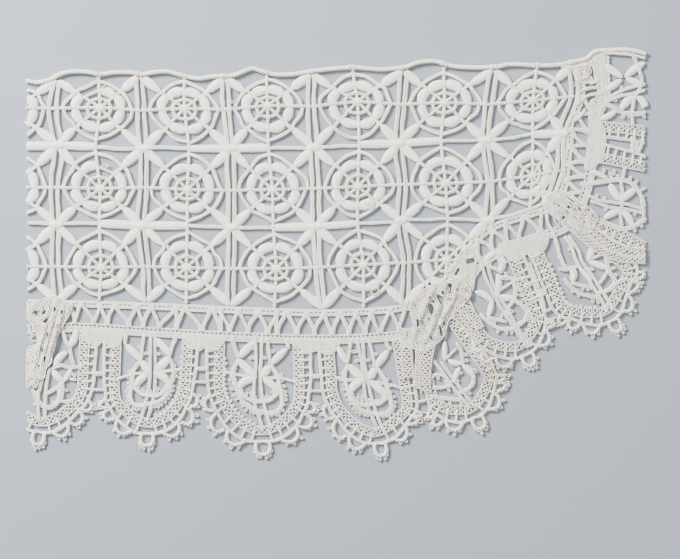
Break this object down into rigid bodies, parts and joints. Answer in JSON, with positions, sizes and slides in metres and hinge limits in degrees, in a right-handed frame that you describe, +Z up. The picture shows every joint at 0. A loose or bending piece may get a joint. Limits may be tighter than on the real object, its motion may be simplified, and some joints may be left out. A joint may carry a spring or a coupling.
{
  "type": "lace trim",
  "caption": "Flat cut length of off-white linen bobbin lace: a plaited net of leaf wheels, a zigzag band, a scalloped border with picots, and a cord along the heading.",
  "frame": {"origin": "middle of the lace's outline on the surface that it lies on", "axes": "+X along the heading, towards the end where the border turns up beside the net; +Y across the lace, towards the heading; +Z up, out of the right side"},
  "size_m": [0.2232, 0.1485, 0.0034],
  "materials": {
    "net_linen": "matt washed linen thread",
    "border_linen": "matt washed linen thread",
    "heading_linen": "matt washed linen thread"
  },
  "bodies": {
    "root": {"wheel_net": "net_linen", "scalloped_border": "border_linen", "heading_cord": "heading_linen"}
  },
  "joints": []
}
